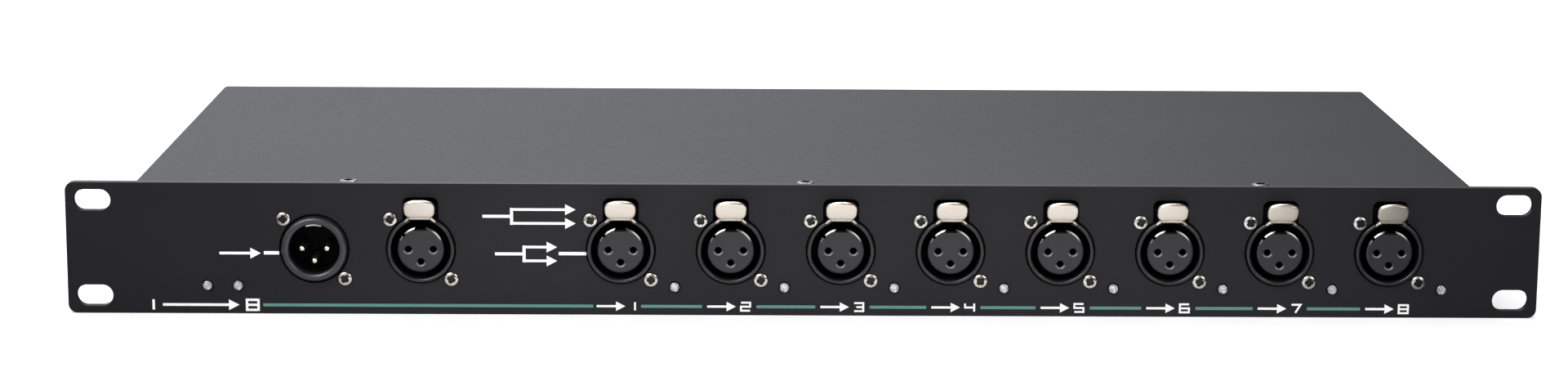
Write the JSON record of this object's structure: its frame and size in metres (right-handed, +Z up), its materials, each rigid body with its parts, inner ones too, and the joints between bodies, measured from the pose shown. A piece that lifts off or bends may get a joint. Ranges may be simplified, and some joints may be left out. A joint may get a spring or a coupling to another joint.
{
  "type": "rack-mount lighting signal splitter",
  "caption": "Rack-mount splitter box with a male input, a link socket and a row of isolated latching output sockets, on a slotted rack panel.",
  "frame": {"origin": "centre of the case's flat underside", "axes": "+X along the panel to the viewer's right, +Y from the front panel to the rear, +Z up"},
  "size_m": [0.4826, 0.2094, 0.0437],
  "materials": {
    "front_panel_finish": "black anodised, fine satin",
    "case_paint": "black powder coat, fine texture",
    "moulded_black": "semi-gloss moulded",
    "insert_black": "satin moulded",
    "latch_nickel": "satin nickel plate",
    "pin_gold": "gold plate",
    "blade_nickel": "nickel plate",
    "fuse_glass": "clear tube with bright caps",
    "lamp_lens": "clear epoxy",
    "green_board": "solder mask",
    "transformer_core": "potted and varnished",
    "bare_aluminium": "mill finish",
    "capacitor_sleeve": "shrink sleeve"
  },
  "bodies": {
    "case": {"front_panel": "front_panel_finish", "base_tray": "case_paint", "top_cover": "case_paint", "input_housing": "moulded_black", "link_housing": "moulded_black", "output_1_housing": "moulded_black", "output_2_housing": "moulded_black", "output_3_housing": "moulded_black", "output_4_housing": "moulded_black", "output_5_housing": "moulded_black", "output_6_housing": "moulded_black", "output_7_housing": "moulded_black", "output_8_housing": "moulded_black", "mains_inlet": "moulded_black", "switch_frame": "moulded_black", "link_insert": "insert_black", "output_1_insert": "insert_black", "output_2_insert": "insert_black", "output_3_insert": "insert_black", "output_4_insert": "insert_black", "output_5_insert": "insert_black", "output_6_insert": "insert_black", "output_7_insert": "insert_black", "output_8_insert": "insert_black", "input_pin_1": "pin_gold", "input_pin_2": "pin_gold", "input_pin_3": "pin_gold", "inlet_line_blade": "blade_nickel", "inlet_neutral_blade": "blade_nickel", "inlet_earth_blade": "blade_nickel", "status_led_1": "lamp_lens", "status_led_2": "lamp_lens", "output_led_1": "lamp_lens", "output_led_2": "lamp_lens", "output_led_3": "lamp_lens", "output_led_4": "lamp_lens", "output_led_5": "lamp_lens", "output_led_6": "lamp_lens", "output_led_7": "lamp_lens", "output_led_8": "lamp_lens", "signal_board": "green_board", "power_board": "green_board", "transformer": "transformer_core", "regulator_heatsink": "bare_aluminium", "smoothing_capacitor": "capacitor_sleeve"},
    "link_latch": {"link_latch": "latch_nickel"},
    "output_1_latch": {"output_1_latch": "latch_nickel"},
    "output_2_latch": {"output_2_latch": "latch_nickel"},
    "output_3_latch": {"output_3_latch": "latch_nickel"},
    "output_4_latch": {"output_4_latch": "latch_nickel"},
    "output_5_latch": {"output_5_latch": "latch_nickel"},
    "output_6_latch": {"output_6_latch": "latch_nickel"},
    "output_7_latch": {"output_7_latch": "latch_nickel"},
    "output_8_latch": {"output_8_latch": "latch_nickel"},
    "fuse_drawer": {"fuse_drawer": "moulded_black", "fuse": "fuse_glass"},
    "switch_rocker": {"switch_rocker": "moulded_black"}
  },
  "joints": [
    {"name": "link_latch_press", "type": "hinge", "parent": "case", "child": "link_latch", "pos_m": [-0.12575, -0.0847, 0.03205], "axis": [-1, 0, 0], "range_deg": [0, 6], "stiffness_Nm_per_rad": 0.05, "springref_deg": -11.46},
    {"name": "output_1_latch_press", "type": "hinge", "parent": "case", "child": "output_1_latch", "pos_m": [-0.06046, -0.0847, 0.03205], "axis": [-1, 0, 0], "range_deg": [0, 6], "stiffness_Nm_per_rad": 0.05, "springref_deg": -11.46},
    {"name": "output_2_latch_press", "type": "hinge", "parent": "case", "child": "output_2_latch", "pos_m": [-0.02443, -0.0847, 0.03205], "axis": [-1, 0, 0], "range_deg": [0, 6], "stiffness_Nm_per_rad": 0.05, "springref_deg": -11.46},
    {"name": "output_3_latch_press", "type": "hinge", "parent": "case", "child": "output_3_latch", "pos_m": [0.0116, -0.0847, 0.03205], "axis": [-1, 0, 0], "range_deg": [0, 6], "stiffness_Nm_per_rad": 0.05, "springref_deg": -11.46},
    {"name": "output_4_latch_press", "type": "hinge", "parent": "case", "child": "output_4_latch", "pos_m": [0.04763, -0.0847, 0.03205], "axis": [-1, 0, 0], "range_deg": [0, 6], "stiffness_Nm_per_rad": 0.05, "springref_deg": -11.46},
    {"name": "output_5_latch_press", "type": "hinge", "parent": "case", "child": "output_5_latch", "pos_m": [0.08366, -0.0847, 0.03205], "axis": [-1, 0, 0], "range_deg": [0, 6], "stiffness_Nm_per_rad": 0.05, "springref_deg": -11.46},
    {"name": "output_6_latch_press", "type": "hinge", "parent": "case", "child": "output_6_latch", "pos_m": [0.11969, -0.0847, 0.03205], "axis": [-1, 0, 0], "range_deg": [0, 6], "stiffness_Nm_per_rad": 0.05, "springref_deg": -11.46},
    {"name": "output_7_latch_press", "type": "hinge", "parent": "case", "child": "output_7_latch", "pos_m": [0.15572, -0.0847, 0.03205], "axis": [-1, 0, 0], "range_deg": [0, 6], "stiffness_Nm_per_rad": 0.05, "springref_deg": -11.46},
    {"name": "output_8_latch_press", "type": "hinge", "parent": "case", "child": "output_8_latch", "pos_m": [0.19175, -0.0847, 0.03205], "axis": [-1, 0, 0], "range_deg": [0, 6], "stiffness_Nm_per_rad": 0.05, "springref_deg": -11.46},
    {"name": "fuse_drawer_slide", "type": "slide", "parent": "case", "child": "fuse_drawer", "axis": [0, 1, 0], "range_m": [0, 0.016]},
    {"name": "switch_rocker_tilt", "type": "hinge", "parent": "case", "child": "switch_rocker", "pos_m": [0.125, 0.0978, 0.0174], "axis": [-1, 0, 0], "range_deg": [0, 14]}
  ]
}
